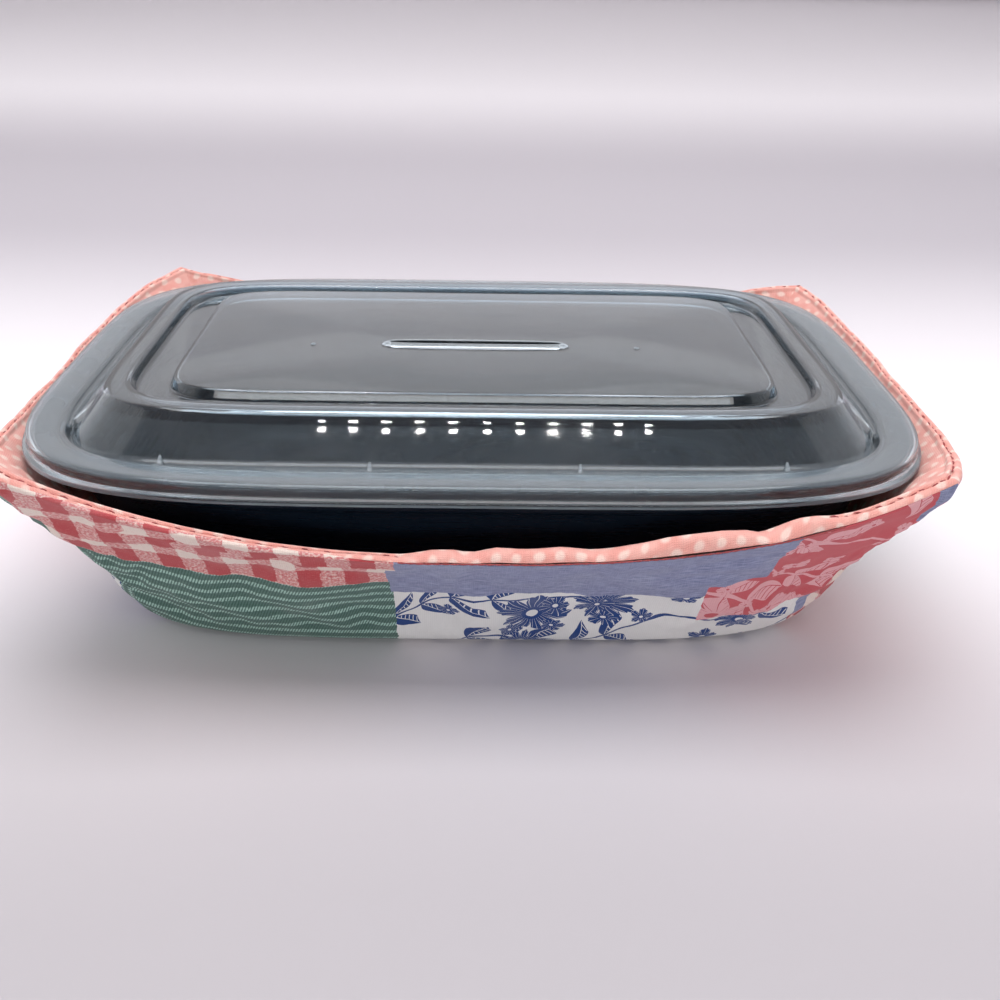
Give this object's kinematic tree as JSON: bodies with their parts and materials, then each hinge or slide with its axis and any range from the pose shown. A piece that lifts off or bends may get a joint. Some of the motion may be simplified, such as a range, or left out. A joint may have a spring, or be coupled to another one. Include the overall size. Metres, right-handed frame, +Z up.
{
  "type": "microwave container cozy",
  "caption": "Padded cloth cozy with flared corner grips, holding a rectangular microwave meal container under a vented press-on lid.",
  "frame": {"origin": "on the table under the middle of the cozy's base", "axes": "+X along the long side towards the right as seen from the front, +Y towards the back, +Z up"},
  "size_m": [0.238, 0.168, 0.0624],
  "materials": {
    "patchwork_cotton": null,
    "wadding": "needled cotton wadding",
    "dotted_cotton": "coral woven cotton with pale dots",
    "black_plastic": "thermoformed black polypropylene",
    "clear_plastic": "translucent polypropylene"
  },
  "bodies": {
    "cozy": {"cozy_cover": "patchwork_cotton", "cover_wadding": "wadding", "lining_wadding": "wadding", "cozy_lining": "dotted_cotton"},
    "container": {"container_tub": "black_plastic"},
    "lid": {"container_lid": "clear_plastic"}
  },
  "joints": [
    {"name": "container_lift", "type": "slide", "parent": "cozy", "child": "container", "axis": [0, 0, 1], "range_m": [0, 0.08]},
    {"name": "lid_lift", "type": "slide", "parent": "container", "child": "lid", "axis": [0, 0, 1], "range_m": [0, 0.05]}
  ]
}
